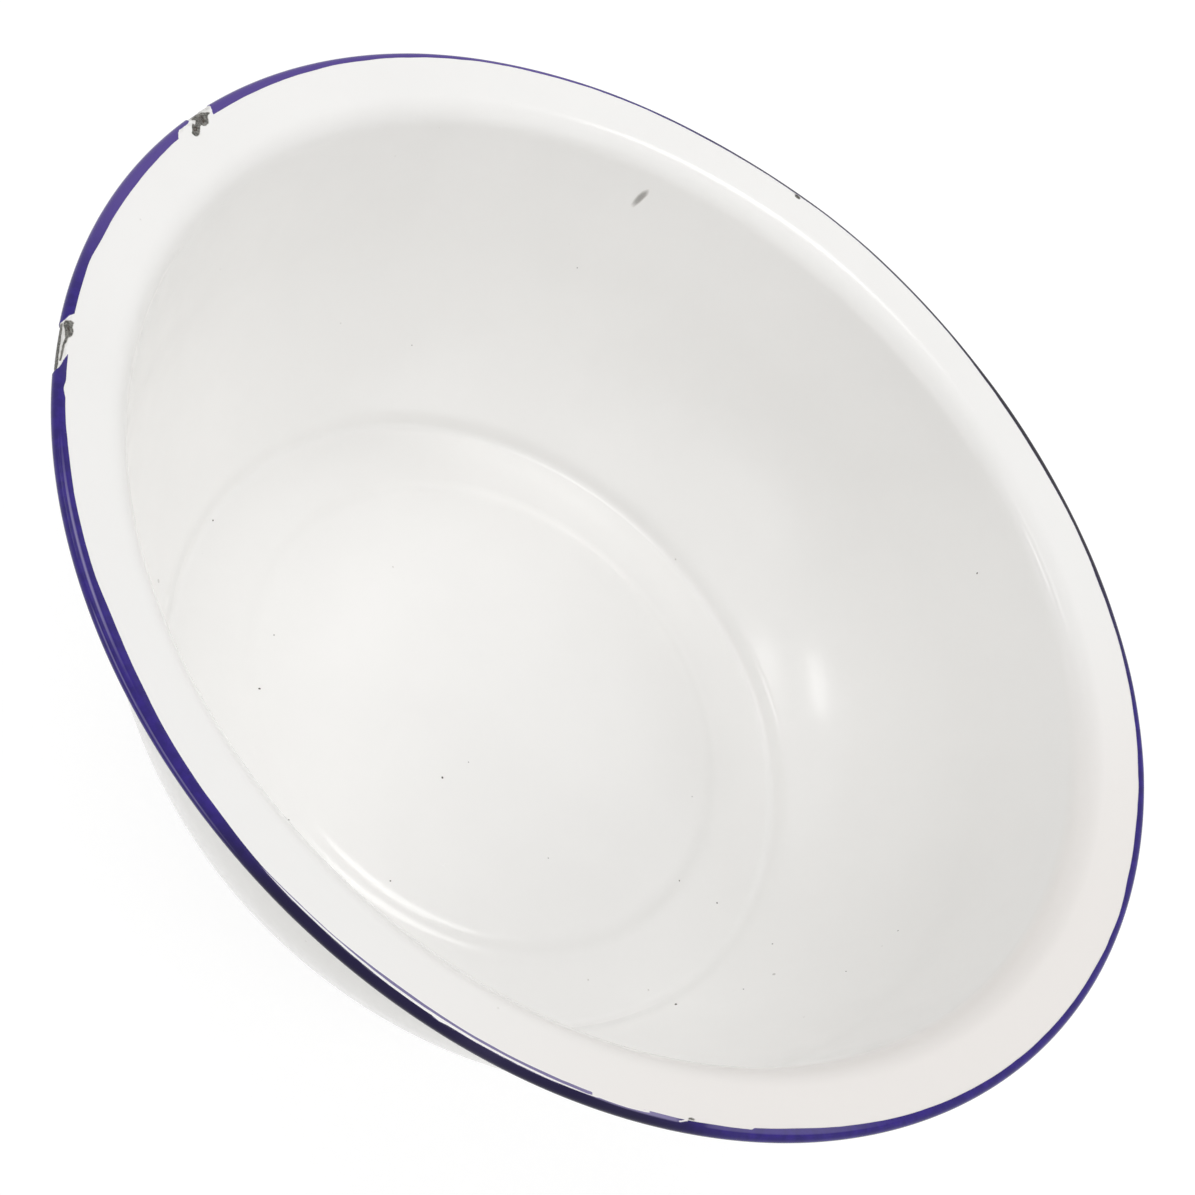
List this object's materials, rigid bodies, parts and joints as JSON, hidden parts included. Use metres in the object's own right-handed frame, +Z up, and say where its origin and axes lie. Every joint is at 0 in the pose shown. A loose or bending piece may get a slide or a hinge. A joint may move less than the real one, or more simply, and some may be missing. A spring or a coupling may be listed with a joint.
{
  "type": "enamel basin",
  "caption": "Wide round enamelled steel wash basin with a flat stepped foot, a leaning wall, a sloped flange and a blue curled rim.",
  "frame": {"origin": "middle of the plane that the basin stands on", "axes": "+Z up along the axis of the bowl, out of its mouth; X and Y are any pair across it, because the basin is round"},
  "size_m": [0.3999, 0.4, 0.1316],
  "materials": {
    "steel": "bare low-carbon steel sheet, seen only in chips",
    "inner_ground": "dark ground enamel",
    "outer_ground": "dark ground enamel",
    "inner_white": "gloss white vitreous enamel",
    "outer_white": "gloss white vitreous enamel",
    "blue_rim": "gloss blue vitreous enamel"
  },
  "bodies": {
    "root": {"steel_pressing": "steel", "inner_ground_coat": "inner_ground", "outer_ground_coat": "outer_ground", "inner_white_enamel": "inner_white", "outer_white_enamel": "outer_white", "blue_rim_enamel": "blue_rim"}
  },
  "joints": []
}
